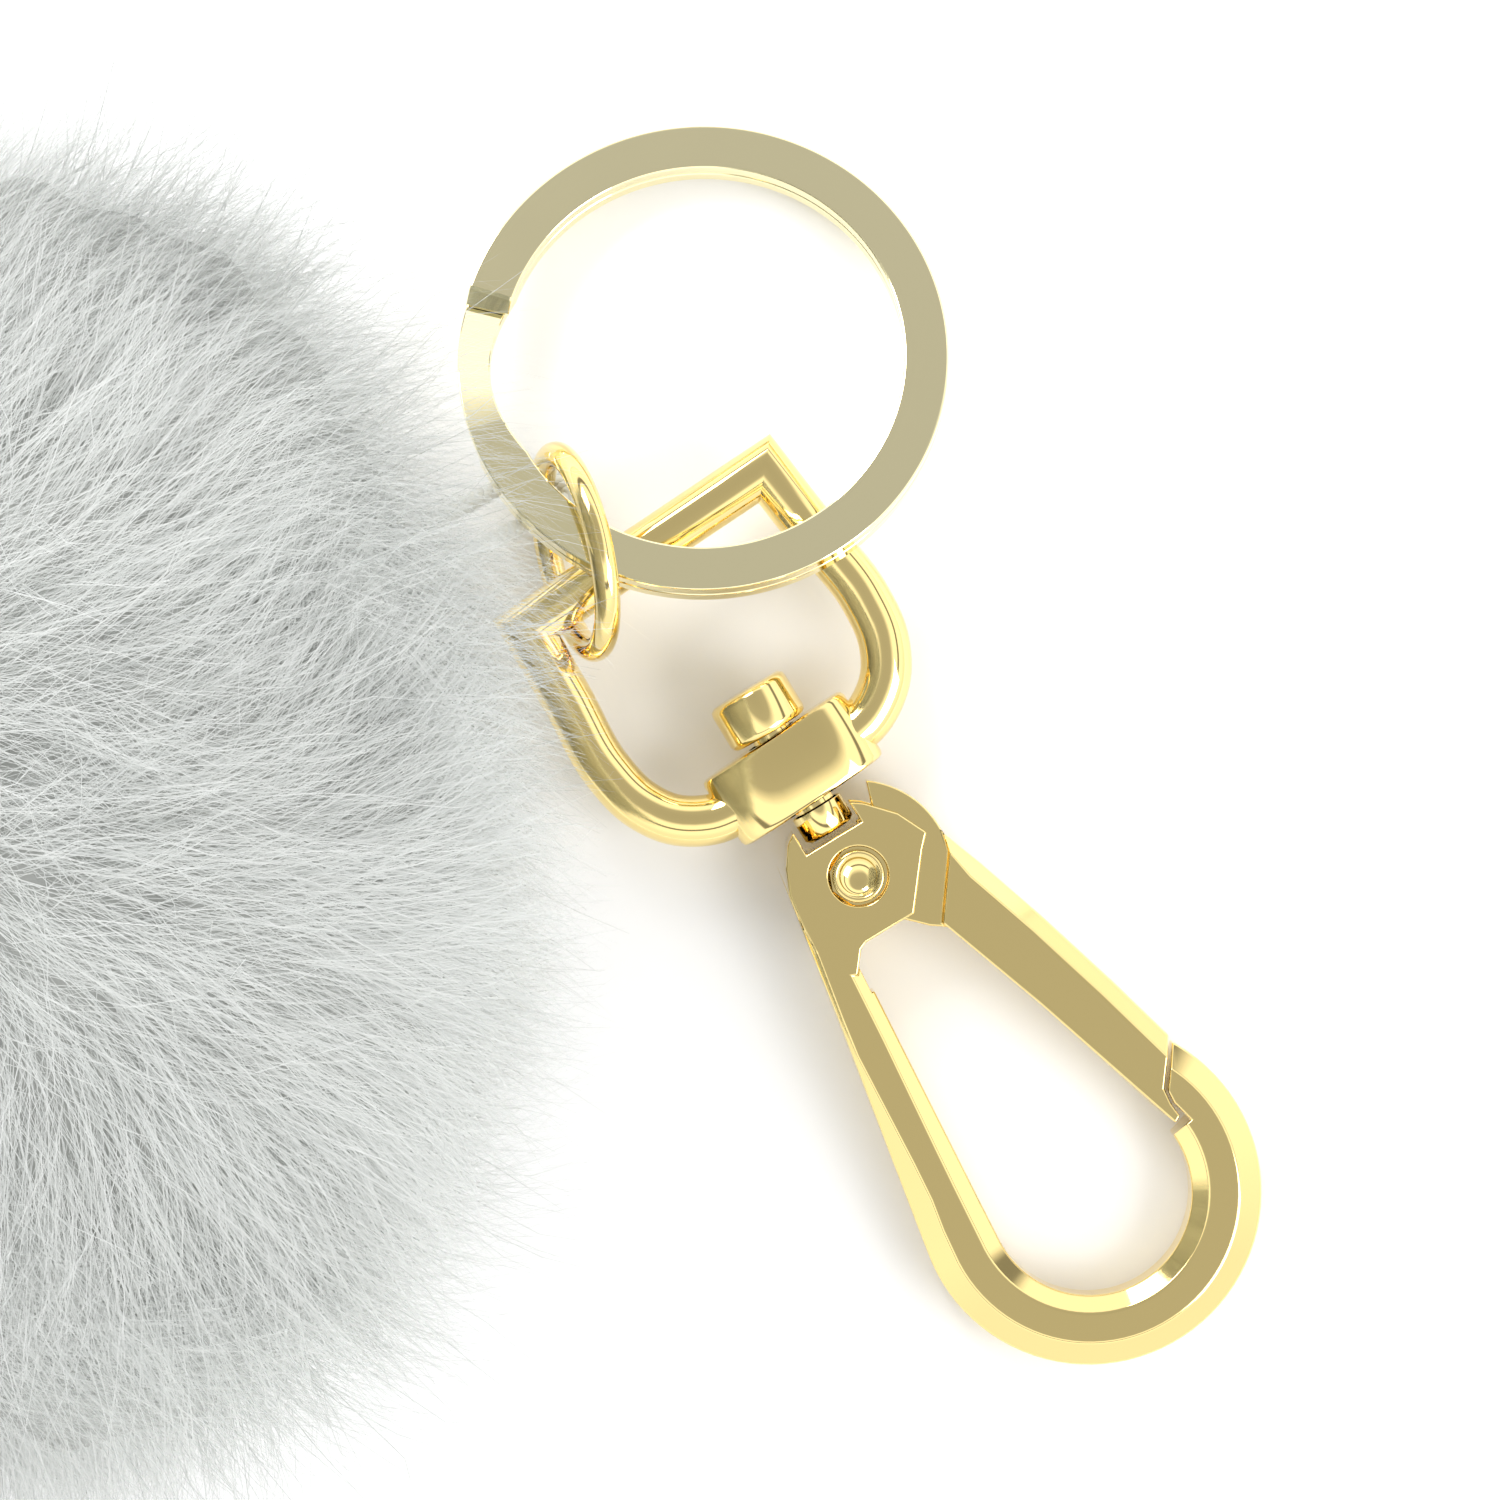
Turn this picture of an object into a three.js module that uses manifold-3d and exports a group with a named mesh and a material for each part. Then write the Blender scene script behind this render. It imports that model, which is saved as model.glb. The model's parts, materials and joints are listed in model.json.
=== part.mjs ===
// A plush keychain lying on a table: a fluffy ball, a jump ring, a flat split key ring
// and a swivel snap hook with a D-shaped bail. Millimetres, +Z up, table at z = 0.

import * as THREE from 'three';
import { mergeVertices } from 'three/addons/utils/BufferGeometryUtils.js';
import Module from 'manifold-3d';

const wasm = await Module();
wasm.setup();

const DEG = Math.PI / 180;

// ---------------------------------------------------------------- driving sizes

// The fluffy ball: pile outside, skin inside it, stuffing inside the skin.
const BALL = { x: -20.85, y: -2.2, z: 37, radius: 38.5 };
const SKIN_RADIUS = 21;
const STUFFING_RADIUS = 20.6;

// The cord loop that leaves the ball through a gathered mouth and holds the jump ring.
// It swings up from the mouth, so the pile is parted over that swing.
const LOOP = { cord: 1.3, halfWidth: 1.85, slack: -0.1, swing: 45 };
const MOUTH_RADIUS = 3.4;
const ANCHOR = { radius: 6, thickness: 2, bore: 2.2, from: 12.3 };
const KNOT = { radius: 3.0, neck: 1.7, centre: 9, top: 20.4 };
const GATHER = { radius: 4.4, cord: 0.8 };

// The jump ring: where it stands, which way its plane faces, and its wire.
const JUMP = {
  x: 17.0, y: 14.0, z: 6.83, radius: 6.12, wire: 1.6,
  facing: 192.5, lean: 73.8, holdAngle: 45,
};

// The key ring: a flat strip wound twice round.
const KEY = { x: 24.9, y: 25.8, outer: 15.15, inner: 12.4, strip: 1.06, gap: 0.08, tilt: 16.6, low: 93 };
const KEY_COIL = { start: 205, rampStart: 544, rampEnd: 562, end: 884, bevel: 0.2 };

// The hook's frame: origin on the gate pin, +Y along the swivel axis towards the bail.
const HOOK = { x: 34.44, y: -5.91, z: 3.82, turn: 31.3, pitch: 2.73, thickness: 4.2 };
const BAR_CHAMFER = 1.1;
const BEND = { x: 2.05, y: -24.35, centre: 8.5, halfWidth: 2.2, noseAngle: 33 };
const SPINE_TOP = { x: -3.1, y: -2.2 };
const SLOT_HALF = 1.5;

const GATE = { tongueHalf: 1.22, hub: 1.95, tail: 5.9, bevel: 0.8 };
const PIN = { shank: 0.9, head: 1.55, headFrom: 1.45, length: 4.3, dimple: 1.1, dimpleDepth: 0.35 };
const SPRING = { radius: 1.42, wire: 0.4, pitch: 0.42, turns: 2.25, groove: 4.1, grooveHalf: 0.78 };

const COLLAR = { width: 10, height: 4.8, depth: 4.9, base: 5.3, bevel: 0.4, bore: 1.65 };
const POST = { shank: 1.3, button: 2.6, buttonTop: 13.35, barrel: 1.65, barrelBottom: 3.15, chamfer: 0.4 };
const BAIL = { turn: 2.5, pivotY: 7.6, wire: 3.2, halfBar: 8.85, barY: 24.1 };

const CLEARANCE = 0.3;

// ---------------------------------------------------------------- finishes

const gold = new THREE.MeshStandardMaterial({ color: 0xd9c48a, metalness: 1, roughness: 0.12 });
const springSteel = new THREE.MeshStandardMaterial({ color: 0xb9b9b4, metalness: 1, roughness: 0.3 });
const fur = new THREE.MeshStandardMaterial({ color: 0xe4e6e2, roughness: 0.95 });
const fibre = new THREE.MeshStandardMaterial({ color: 0xf4f4f0, roughness: 1 });
const cordCloth = new THREE.MeshStandardMaterial({ color: 0xd8d8d2, roughness: 0.9 });
const plastic = new THREE.MeshStandardMaterial({ color: 0xe9e9e4, roughness: 0.5 });

// ---------------------------------------------------------------- solids

function weld(geometry) {
  const bare = geometry.index ? geometry.toNonIndexed() : geometry.clone();
  bare.deleteAttribute('normal');
  bare.deleteAttribute('uv');
  return mergeVertices(bare, 1e-5);
}

function solid(geometry) {
  const welded = weld(geometry);
  const vertProperties = new Float32Array(welded.attributes.position.array);
  const triVerts = new Uint32Array(welded.index.array);
  return new wasm.Manifold(new wasm.Mesh({ numProp: 3, vertProperties, triVerts }));
}

function geometryOf(manifold) {
  const mesh = manifold.getMesh();
  const geometry = new THREE.BufferGeometry();
  geometry.setAttribute('position', new THREE.BufferAttribute(mesh.vertProperties, 3));
  geometry.setIndex(new THREE.BufferAttribute(mesh.triVerts, 1));
  geometry.computeVertexNormals();
  return geometry;
}

function place(geometry, x, y, z) {
  geometry.translate(x, y, z);
  return geometry;
}

function named(name, geometry, material) {
  const mesh = new THREE.Mesh(geometry, material);
  mesh.name = name;
  return mesh;
}

// The outline moved inwards by a distance, with mitred corners. Outlines run anticlockwise.
function inset(outline, distance) {
  const count = outline.length;
  return outline.map((here, i) => {
    const into = here.clone().sub(outline[(i + count - 1) % count]).normalize();
    const out = outline[(i + 1) % count].clone().sub(here).normalize();
    const inward = new THREE.Vector2(-into.y - out.y, into.x + out.x);
    return here.clone().addScaledVector(inward, distance / (1 + into.dot(out)));
  });
}

// A flat plate between two heights, from outline points, with chamfered rims.
function plate(points, bottom, top, chamfer = 0) {
  const outline = points.map(([x, y]) => new THREE.Vector2(x, y));
  if (THREE.ShapeUtils.area(outline) < 0) outline.reverse();
  const small = inset(outline, chamfer);
  const layers = chamfer > 0
    ? [[small, bottom], [outline, bottom + chamfer], [outline, top - chamfer], [small, top]]
    : [[outline, bottom], [outline, top]];
  const count = outline.length;
  const positions = layers.flatMap(([ring, z]) => ring.flatMap(({ x, y }) => [x, y, z]));
  const index = [];
  for (let level = 0; level < layers.length - 1; level++) {
    const low = level * count;
    const high = low + count;
    for (let i = 0; i < count; i++) {
      const next = (i + 1) % count;
      index.push(low + i, low + next, high + next, low + i, high + next, high + i);
    }
  }
  const cap = (layers.length - 1) * count;
  for (const [a, b, c] of THREE.ShapeUtils.triangulateShape(outline, [])) {
    index.push(c, b, a, cap + a, cap + b, cap + c);
  }
  const geometry = new THREE.BufferGeometry();
  geometry.setAttribute('position', new THREE.Float32BufferAttribute(positions, 3));
  geometry.setIndex(index);
  return geometry;
}

// A rod standing on Z between two heights.
function rod(radius, bottom, top, sides = 32) {
  const geometry = new THREE.CylinderGeometry(radius, radius, top - bottom, sides);
  geometry.rotateX(Math.PI / 2);
  return place(geometry, 0, 0, (bottom + top) / 2);
}

// A turned piece about Z from (radius, height) pairs that start and end on the axis.
function turned(profile, sides = 40) {
  const geometry = new THREE.LatheGeometry(profile.map(([r, h]) => new THREE.Vector2(r, h)), sides);
  geometry.rotateX(Math.PI / 2);
  return geometry;
}

// A round cord or wire along a curve.
function wire(curve, diameter, steps, sides = 10) {
  const section = new THREE.Shape();
  section.absarc(0, 0, diameter / 2, 0, 2 * Math.PI);
  return new THREE.ExtrudeGeometry(section, {
    steps,
    curveSegments: sides,
    bevelEnabled: false,
    extrudePath: curve,
  });
}

// A bar whose section, given as [outward offset, height] pairs, follows a path of
// {x, y, z} points. Corners of the path are mitred in plan.
function bar(path, section, closed = false) {
  const count = path.length;
  const sides = section.length;
  const positions = [];
  const index = [];
  for (let i = 0; i < count; i++) {
    const here = path[i];
    const before = path[closed ? (i + count - 1) % count : Math.max(i - 1, 0)];
    const after = path[closed ? (i + 1) % count : Math.min(i + 1, count - 1)];
    const into = new THREE.Vector2(here.x - before.x, here.y - before.y).normalize();
    const out = new THREE.Vector2(after.x - here.x, after.y - here.y).normalize();
    if (into.length() === 0) into.copy(out);
    if (out.length() === 0) out.copy(into);
    const across = new THREE.Vector2(into.y + out.y, -into.x - out.x);
    across.multiplyScalar(1 / (1 + into.dot(out)));
    for (const [offset, height] of section) {
      positions.push(here.x + offset * across.x, here.y + offset * across.y, (here.z ?? 0) + height);
    }
  }
  const spans = closed ? count : count - 1;
  for (let i = 0; i < spans; i++) {
    const a = i * sides;
    const b = ((i + 1) % count) * sides;
    for (let j = 0; j < sides; j++) {
      const k = (j + 1) % sides;
      index.push(a + j, b + j, b + k, a + j, b + k, a + k);
    }
  }
  if (!closed) {
    const last = (count - 1) * sides;
    for (let j = 1; j < sides - 1; j++) {
      index.push(0, j, j + 1, last, last + j + 1, last + j);
    }
  }
  const geometry = new THREE.BufferGeometry();
  geometry.setAttribute('position', new THREE.Float32BufferAttribute(positions, 3));
  geometry.setIndex(index);
  return geometry;
}

// Outline of a bar's section: a rectangle with chamfered corners.
function chamferedSection(halfWidth, halfHeight, chamfer) {
  const w = halfWidth;
  const h = halfHeight;
  const c = chamfer;
  return [
    [w, h - c], [w - c, h], [c - w, h], [-w, h - c],
    [-w, c - h], [c - w, -h], [w - c, -h], [w, c - h],
  ];
}

function roundSection(radius, sides) {
  const points = [];
  for (let i = 0; i < sides; i++) {
    const angle = (2 * Math.PI * i) / sides;
    points.push([radius * Math.cos(angle), radius * Math.sin(angle)]);
  }
  return points;
}

function arc(centre, radius, from, to, steps) {
  const points = [];
  for (let i = 0; i <= steps; i++) {
    const angle = (from + ((to - from) * i) / steps) * DEG;
    points.push({ x: centre.x + radius * Math.cos(angle), y: centre.y + radius * Math.sin(angle) });
  }
  return points;
}

// ---------------------------------------------------------------- jump ring and its frame

function jumpRing() {
  const ring = named('jump_ring', new THREE.TorusGeometry(JUMP.radius, JUMP.wire / 2, 10, 48), gold);
  const facing = JUMP.facing * DEG;
  const lean = JUMP.lean * DEG;
  const normal = new THREE.Vector3(
    Math.sin(lean) * Math.cos(facing), Math.sin(lean) * Math.sin(facing), Math.cos(lean));
  const level = new THREE.Vector3(-normal.y, normal.x, 0).normalize();
  const rising = new THREE.Vector3().crossVectors(normal, level);
  ring.setRotationFromMatrix(new THREE.Matrix4().makeBasis(level, rising, normal));
  ring.position.set(JUMP.x, JUMP.y, JUMP.z);
  return { ring, level, rising, normal };
}

// ---------------------------------------------------------------- the fluffy ball

function footBox(bottom) {
  const size = 4 * BALL.radius;
  return solid(place(new THREE.BoxGeometry(size, size, size), 0, 0, bottom - size / 2));
}

function plush(jump) {
  const group = new THREE.Group();
  group.position.set(BALL.x, BALL.y, BALL.z);
  const centre = group.position.clone();

  // The loop holds the jump ring's wire low down on the side near the ball.
  const hold = JUMP.holdAngle * DEG;
  const held = jump.ring.position.clone()
    .addScaledVector(jump.level, -JUMP.radius * Math.cos(hold))
    .addScaledVector(jump.rising, -JUMP.radius * Math.sin(hold));
  const alongWire = jump.rising.clone().multiplyScalar(Math.cos(hold))
    .addScaledVector(jump.level, -Math.sin(hold));
  const reach = held.clone().sub(centre);
  const away = reach.clone().normalize();
  const across = new THREE.Vector3().crossVectors(away, alongWire).normalize();
  const flat = new THREE.Vector3().crossVectors(across, away);
  const toMouth = new THREE.Matrix4().makeBasis(flat, across, away);

  // The gap in the pile that the loop swings in, from its rest line upwards.
  const hinge = new THREE.Vector3(away.y, -away.x, 0).normalize();
  const upward = new THREE.Vector3().crossVectors(hinge, away);
  const reachOut = 2 * BALL.radius;
  const swung = arc({ x: SKIN_RADIUS, y: 0 }, reachOut, 0, LOOP.swing, 6).map(({ x, y }) => [x, y]);
  const gapFrom = SKIN_RADIUS - 2;
  const wedge = plate([
    [gapFrom, -MOUTH_RADIUS], [reachOut, -MOUTH_RADIUS], ...swung, [gapFrom, MOUTH_RADIUS],
  ], -MOUTH_RADIUS, MOUTH_RADIUS);
  wedge.applyMatrix4(new THREE.Matrix4().makeBasis(away, upward, hinge));

  const outer = solid(new THREE.SphereGeometry(BALL.radius, 40, 24)).subtract(footBox(-BALL.z));
  const hollow = solid(new THREE.SphereGeometry(SKIN_RADIUS, 28, 16));
  const cover = outer.subtract(hollow).subtract(solid(wedge));
  group.add(named('fur_cover', geometryOf(cover), fur));

  const roomRadius = ANCHOR.radius + CLEARANCE;
  const room = solid(rod(roomRadius, ANCHOR.from - CLEARANCE, SKIN_RADIUS, 32).applyMatrix4(toMouth));
  const knotFrom = KNOT.centre - KNOT.radius;
  const knotHole = rod(KNOT.radius + CLEARANCE, knotFrom - CLEARANCE, SKIN_RADIUS, 24);
  const filling = solid(new THREE.SphereGeometry(STUFFING_RADIUS, 28, 16))
    .subtract(room)
    .subtract(solid(knotHole.applyMatrix4(toMouth)));
  group.add(named('stuffing', geometryOf(filling), fibre));

  // A washer inside the skin that stops the knot, so that the loop can't pull out.
  const washer = solid(rod(ANCHOR.radius, ANCHOR.from, ANCHOR.from + ANCHOR.thickness, 32));
  const anchor = washer.subtract(solid(rod(ANCHOR.bore, 0, SKIN_RADIUS, 24)));
  group.add(named('loop_anchor', geometryOf(anchor).applyMatrix4(toMouth), plastic));

  // The knot in the cord's two ends, and its neck up to the mouth.
  const bulge = arc({ x: 0, y: KNOT.centre }, KNOT.radius, -60, 50, 5).map(({ x, y }) => [x, y]);
  const knotProfile = [[0, knotFrom], ...bulge];
  knotProfile.push([KNOT.neck, ANCHOR.from - CLEARANCE], [KNOT.neck, KNOT.top], [0, KNOT.top]);
  group.add(named('loop_knot', turned(knotProfile, 16).applyMatrix4(toMouth), cordCloth));

  // The drawn thread that gathers the skin round the mouth.
  const thread = new THREE.TorusGeometry(GATHER.radius, GATHER.cord / 2, 8, 32);
  place(thread, 0, 0, Math.sqrt(STUFFING_RADIUS ** 2 - ANCHOR.radius ** 2) - GATHER.cord);
  group.add(named('gather_thread', thread.applyMatrix4(toMouth), cordCloth));

  // The loop: two strands side by side with round ends.
  const near = { x: SKIN_RADIUS + CLEARANCE + LOOP.halfWidth + LOOP.cord / 2, y: 0 };
  const far = { x: reach.length() + LOOP.slack, y: 0 };
  const loopPath = [...arc(far, LOOP.halfWidth, -90, 90, 10), ...arc(near, LOOP.halfWidth, 90, 270, 10)];
  const alongLoop = new THREE.Matrix4().makeBasis(away, across, flat.clone().negate());
  const loop = bar(loopPath, roundSection(LOOP.cord / 2, 8), true);
  group.add(named('hang_loop', loop.applyMatrix4(alongLoop), cordCloth));
  return group;
}

// ---------------------------------------------------------------- key ring

function keyRing() {
  const middle = (KEY.outer + KEY.inner) / 2;
  const lift = KEY.strip + KEY.gap;
  const path = [];
  for (let angle = KEY_COIL.end; angle >= KEY_COIL.start; angle -= 5) {
    const climbed = THREE.MathUtils.smoothstep(angle, KEY_COIL.rampStart, KEY_COIL.rampEnd);
    const radians = angle * DEG;
    path.push({ x: middle * Math.cos(radians), y: middle * Math.sin(radians), z: (climbed - 0.5) * lift });
  }
  path.reverse();
  const section = chamferedSection((KEY.outer - KEY.inner) / 2, KEY.strip / 2, KEY_COIL.bevel);
  const ring = named('key_ring', bar(path, section), gold);
  const low = KEY.low * DEG;
  const tilt = KEY.tilt * DEG;
  const axis = new THREE.Vector3(-Math.sin(low), Math.cos(low), 0);
  ring.setRotationFromAxisAngle(axis, tilt);
  ring.position.set(KEY.x, KEY.y, KEY.outer * Math.sin(tilt) + KEY.strip + KEY.gap);
  return ring;
}

// ---------------------------------------------------------------- swivel hook

// The line where the gate's end meets the hook's nose, from outside to inside.
const NOSE_JOINT = [[12.9, -16.9], [11.3, -18.95], [9.45, -21.35], [9.4, -22.15], [9.75, -23.6]];

function slotOutline() {
  return [[-3, -6.6], [7.5, -6.6], [7.5, 6], [2.4, 6], [2.4, 2.2], [-3, 2.2]];
}

function hookBody() {
  const half = HOOK.thickness / 2;
  const head = plate([
    [-2.05, 4.4], [-2.05, 2.75], [2.05, 2.75], [2.05, 4.2], [2.5, 3.75], [4.1, 2.05], [5.0, 0.15],
    [4.23, -0.65], [1.74, -3.75], [-1.9, -3.75], [-2.6, -4.6], [-5.3, -5.0], [-4.57, -0.95],
    [-4.13, 1.55], [-3.3, 3.1], [-2.6, 4.1],
  ], -half, half, 0.45);

  const startAngle = 169;
  const round = arc(BEND, BEND.centre, startAngle, 360 + BEND.noseAngle, 40);
  const spinePath = [SPINE_TOP, ...round];
  const spine = bar(spinePath, chamferedSection(BEND.halfWidth, half, BAR_CHAMFER));

  const cutNose = plate([...NOSE_JOINT, [7, -24.2], [4, -15], [9, -12]], -half - 1, half + 1);
  const slot = plate(slotOutline(), -SLOT_HALF, SLOT_HALF);
  const pinHole = rod(PIN.head + CLEARANCE, -half - 1, half + 1);
  const body = solid(spine)
    .subtract(solid(cutNose))
    .add(solid(head))
    .subtract(solid(slot))
    .subtract(solid(pinHole));
  return named('hook_body', geometryOf(body), gold);
}

function gate() {
  const half = HOOK.thickness / 2;
  const gap = CLEARANCE;
  const arm = plate([
    [5.55, -1.75], [6.4, -1.2], [7.0, -3.9], [11.2, -18.35], [9.2, -20.95], [9.08, -22.1], [9.1, -23.1],
    [8.75, -23.3], [8.2, -21.6], [2.9, -5.25],
  ], -half, half, GATE.bevel);
  const tailArc = arc({ x: 0, y: 0 }, GATE.tail, -30, 57, 12).map(({ x, y }) => [x, y]);
  const tongue = plate([
    ...tailArc, [2.75, 2.6], [2.75, 1.7], [0, GATE.hub], [-GATE.hub * 0.75, GATE.hub * 0.6],
    [-GATE.hub, 0], [-GATE.hub * 0.7, -GATE.hub * 0.7], [2.2, -5.0], [4.2, -6.4], [6.6, -5.2],
  ], -GATE.tongueHalf, GATE.tongueHalf);
  const pinHole = rod(PIN.shank + gap, -half - 1, half + 1);
  const groove = rod(SPRING.groove, -SPRING.grooveHalf, SPRING.grooveHalf);
  const lever = solid(arm).add(solid(tongue)).subtract(solid(pinHole)).subtract(solid(groove));
  return named('gate', geometryOf(lever), gold);
}

function gatePin() {
  const half = PIN.length / 2;
  const profile = [
    [0, -half + PIN.dimpleDepth], [PIN.dimple * 0.6, -half + PIN.dimpleDepth], [PIN.dimple, -half],
    [PIN.head, -half], [PIN.head, -PIN.headFrom], [PIN.shank, -PIN.headFrom], [PIN.shank, PIN.headFrom],
    [PIN.head, PIN.headFrom], [PIN.head, half], [PIN.dimple, half],
    [PIN.dimple * 0.6, half - PIN.dimpleDepth], [0, half - PIN.dimpleDepth],
  ];
  return named('gate_pin', turned(profile, 32), gold);
}

function gateSpring() {
  const points = [new THREE.Vector3(-2.25, -5.9, -0.47), new THREE.Vector3(-1.75, -3.0, -0.47)];
  const steps = 12 * SPRING.turns;
  for (let i = 0; i <= steps; i++) {
    const angle = Math.PI - (2 * Math.PI * i) / 12;
    const height = SPRING.pitch * (i / 12 - SPRING.turns / 2);
    points.push(new THREE.Vector3(SPRING.radius * Math.cos(angle), SPRING.radius * Math.sin(angle), height));
  }
  points.push(new THREE.Vector3(1.4, 1.38, 0.47), new THREE.Vector3(2.9, 0.9, 0.47));
  const spring = wire(new THREE.CatmullRomCurve3(points), SPRING.wire, 90, 6);
  return named('gate_spring', spring, springSteel);
}

function swivelPost() {
  const { shank, button, buttonTop, barrel, barrelBottom, chamfer } = POST;
  const collarTop = COLLAR.base + COLLAR.height;
  const profile = [
    [0, barrelBottom], [barrel - 0.2, barrelBottom], [barrel, barrelBottom + 0.2],
    [barrel, COLLAR.base - CLEARANCE], [shank, COLLAR.base - CLEARANCE], [shank, collarTop + CLEARANCE],
    [button - chamfer, collarTop + CLEARANCE], [button, collarTop + CLEARANCE + chamfer],
    [button, buttonTop - chamfer], [button - chamfer, buttonTop], [0, buttonTop],
  ];
  const post = new THREE.LatheGeometry(profile.map(([r, h]) => new THREE.Vector2(r, h)), 32);
  return named('swivel_post', post, gold);
}

function swivelBail() {
  // Half of the D's centreline, from the collar out and up to the corner.
  const side = new THREE.CatmullRomCurve3([
    new THREE.Vector3(3.2, 7.4, 0), new THREE.Vector3(6.0, 7.9, 0), new THREE.Vector3(7.9, 9.2, 0),
    new THREE.Vector3(9.1, 11.2, 0), new THREE.Vector3(9.6, 14, 0), new THREE.Vector3(9.2, 19, 0),
    new THREE.Vector3(BAIL.halfBar, BAIL.barY, 0),
  ]).getPoints(28);
  const mirrored = side.map(({ x, y }) => ({ x: -x, y })).reverse();
  const loop = bar([...side, ...mirrored].reverse(), roundSection(BAIL.wire / 2, 14));

  const collarShape = new THREE.Shape();
  collarShape.moveTo(COLLAR.width / 2, -COLLAR.depth * 0.24);
  collarShape.quadraticCurveTo(COLLAR.width * 0.56, 0, COLLAR.width / 2, COLLAR.depth * 0.24);
  collarShape.bezierCurveTo(3.2, COLLAR.depth / 2, 2.2, COLLAR.depth / 2, 0, COLLAR.depth / 2);
  collarShape.bezierCurveTo(-2.2, COLLAR.depth / 2, -3.2, COLLAR.depth / 2,
    -COLLAR.width / 2, COLLAR.depth * 0.24);
  collarShape.quadraticCurveTo(-COLLAR.width * 0.56, 0, -COLLAR.width / 2, -COLLAR.depth * 0.24);
  collarShape.bezierCurveTo(-3.2, -COLLAR.depth / 2, -2.2, -COLLAR.depth / 2, 0, -COLLAR.depth / 2);
  collarShape.bezierCurveTo(2.2, -COLLAR.depth / 2, 3.2, -COLLAR.depth / 2,
    COLLAR.width / 2, -COLLAR.depth * 0.24);
  const collar = new THREE.ExtrudeGeometry(collarShape, {
    depth: COLLAR.height - 2 * COLLAR.bevel,
    bevelThickness: COLLAR.bevel,
    bevelSize: COLLAR.bevel,
    bevelOffset: -COLLAR.bevel,
    bevelSegments: 1,
    curveSegments: 6,
  });
  collar.rotateX(-Math.PI / 2);
  collar.translate(0, COLLAR.base + COLLAR.bevel, 0);

  const bore = new THREE.CylinderGeometry(COLLAR.bore, COLLAR.bore, 3 * COLLAR.height, 28);
  bore.translate(0, COLLAR.base + COLLAR.height / 2, 0);
  const body = solid(loop).add(solid(collar)).subtract(solid(bore));
  const bail = named('swivel_bail', geometryOf(body), gold);
  bail.geometry.translate(0, -BAIL.pivotY, 0);
  bail.rotation.z = BAIL.turn * DEG;
  bail.position.y = BAIL.pivotY;
  return bail;
}

function swivelHook() {
  const group = new THREE.Group();
  group.position.set(HOOK.x, HOOK.y, HOOK.z);
  group.rotation.set(HOOK.pitch * DEG, 0, HOOK.turn * DEG, 'ZXY');
  group.add(hookBody(), gate(), gatePin(), gateSpring(), swivelPost(), swivelBail());
  return group;
}

// ---------------------------------------------------------------- the keychain

const jump = jumpRing();
const keychain = new THREE.Group();
keychain.add(plush(jump), jump.ring, keyRing(), swivelHook());

export default keychain;
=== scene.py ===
"""A plush keychain on a pale table: a fluffy ball, a cord loop, a jump ring, a flat split
key ring and a swivel snap hook. Sizes below are millimetres in each part's own frame."""

import json
import math

import bmesh
import bpy
import numpy as np
from mathutils import Matrix, Vector


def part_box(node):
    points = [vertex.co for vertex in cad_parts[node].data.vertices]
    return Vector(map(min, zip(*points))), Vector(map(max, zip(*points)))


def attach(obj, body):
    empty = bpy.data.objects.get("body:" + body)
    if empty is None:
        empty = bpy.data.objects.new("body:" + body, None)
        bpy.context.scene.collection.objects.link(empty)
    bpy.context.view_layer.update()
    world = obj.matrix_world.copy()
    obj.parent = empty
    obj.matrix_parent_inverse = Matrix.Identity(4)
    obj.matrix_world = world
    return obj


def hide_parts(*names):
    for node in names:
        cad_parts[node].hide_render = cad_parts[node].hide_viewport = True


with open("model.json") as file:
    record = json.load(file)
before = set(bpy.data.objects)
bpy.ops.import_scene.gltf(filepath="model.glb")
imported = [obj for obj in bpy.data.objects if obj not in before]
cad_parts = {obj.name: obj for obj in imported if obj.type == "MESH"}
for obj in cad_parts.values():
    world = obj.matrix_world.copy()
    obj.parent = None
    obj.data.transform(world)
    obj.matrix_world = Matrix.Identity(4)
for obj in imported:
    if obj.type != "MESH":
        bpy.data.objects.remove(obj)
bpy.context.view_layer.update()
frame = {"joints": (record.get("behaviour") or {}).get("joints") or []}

MM = 0.001

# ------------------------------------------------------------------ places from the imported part


def share(value, start, end):
    """How far a value has gone from start to end, held between 0 and 1."""
    return min(max((value - start) / (end - start), 0), 1)


def unit(v):
    """Vectors of length 1."""
    return v / np.maximum(np.linalg.norm(v, axis=-1, keepdims=True), 1e-12)


def joint(name):
    """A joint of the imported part, by its name."""
    return next(j for j in frame["joints"] if j["name"] == name)


def middle(node):
    """The centre of a CAD node's box, in metres."""
    low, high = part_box(node)
    return (low + high) / 2


def axes_at(origin, x, y, z):
    """A frame's matrix, which also turns its millimetres into metres."""
    matrix = Matrix((x, y, z)).transposed().to_4x4()
    matrix.translation = origin
    return matrix @ Matrix.Scale(MM, 4)


hook_up = Vector(joint("gate_pivot")["axis"]).normalized()
hook_along = Vector(joint("hook_swivel")["axis"]).normalized()
gate_pivot = Vector(joint("gate_pivot")["pos_m"])
HOOK_FRAME = axes_at(gate_pivot, hook_along.cross(hook_up), hook_along, hook_up)

fur_low, fur_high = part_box("fur_cover")
BALL_RADIUS = (fur_high.x - fur_low.x) / 2 / MM
BALL_CENTRE = Vector((middle("fur_cover").x, middle("fur_cover").y, fur_high.z - BALL_RADIUS * MM))

# ------------------------------------------------------------------ materials


def node_material(name):
    material = bpy.data.materials.new(name)
    material.use_nodes = True
    return material, material.node_tree, material.node_tree.nodes["Principled BSDF"]


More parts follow.
